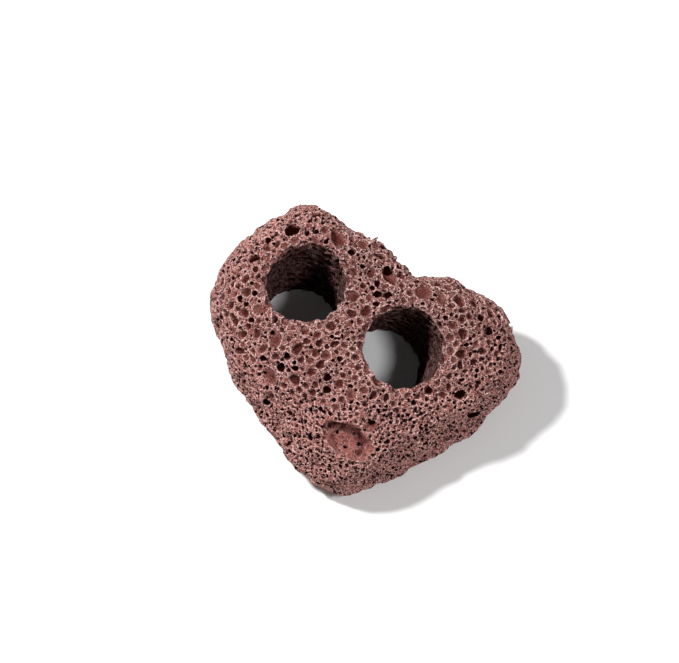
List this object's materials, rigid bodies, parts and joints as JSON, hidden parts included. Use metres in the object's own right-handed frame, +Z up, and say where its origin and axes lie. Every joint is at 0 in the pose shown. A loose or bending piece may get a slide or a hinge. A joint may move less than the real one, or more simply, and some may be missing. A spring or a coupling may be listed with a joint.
{
  "type": "aquarium lava rock",
  "caption": "Lump of porous red scoria, roughly heart-shaped, pitted all over, with round swim-through holes bored through it for an aquarium.",
  "frame": {"origin": "under the middle of the rock's bounding box, on the surface that the rock rests on", "axes": "+X along the rock's longest extent, +Z up, out of the broad face; -Y towards the narrow lower end of the heart"},
  "size_m": [0.0988, 0.0902, 0.0447],
  "materials": {
    "scoria": "matt, rough and porous"
  },
  "bodies": {
    "root": {"lava_rock": "scoria"}
  },
  "joints": []
}
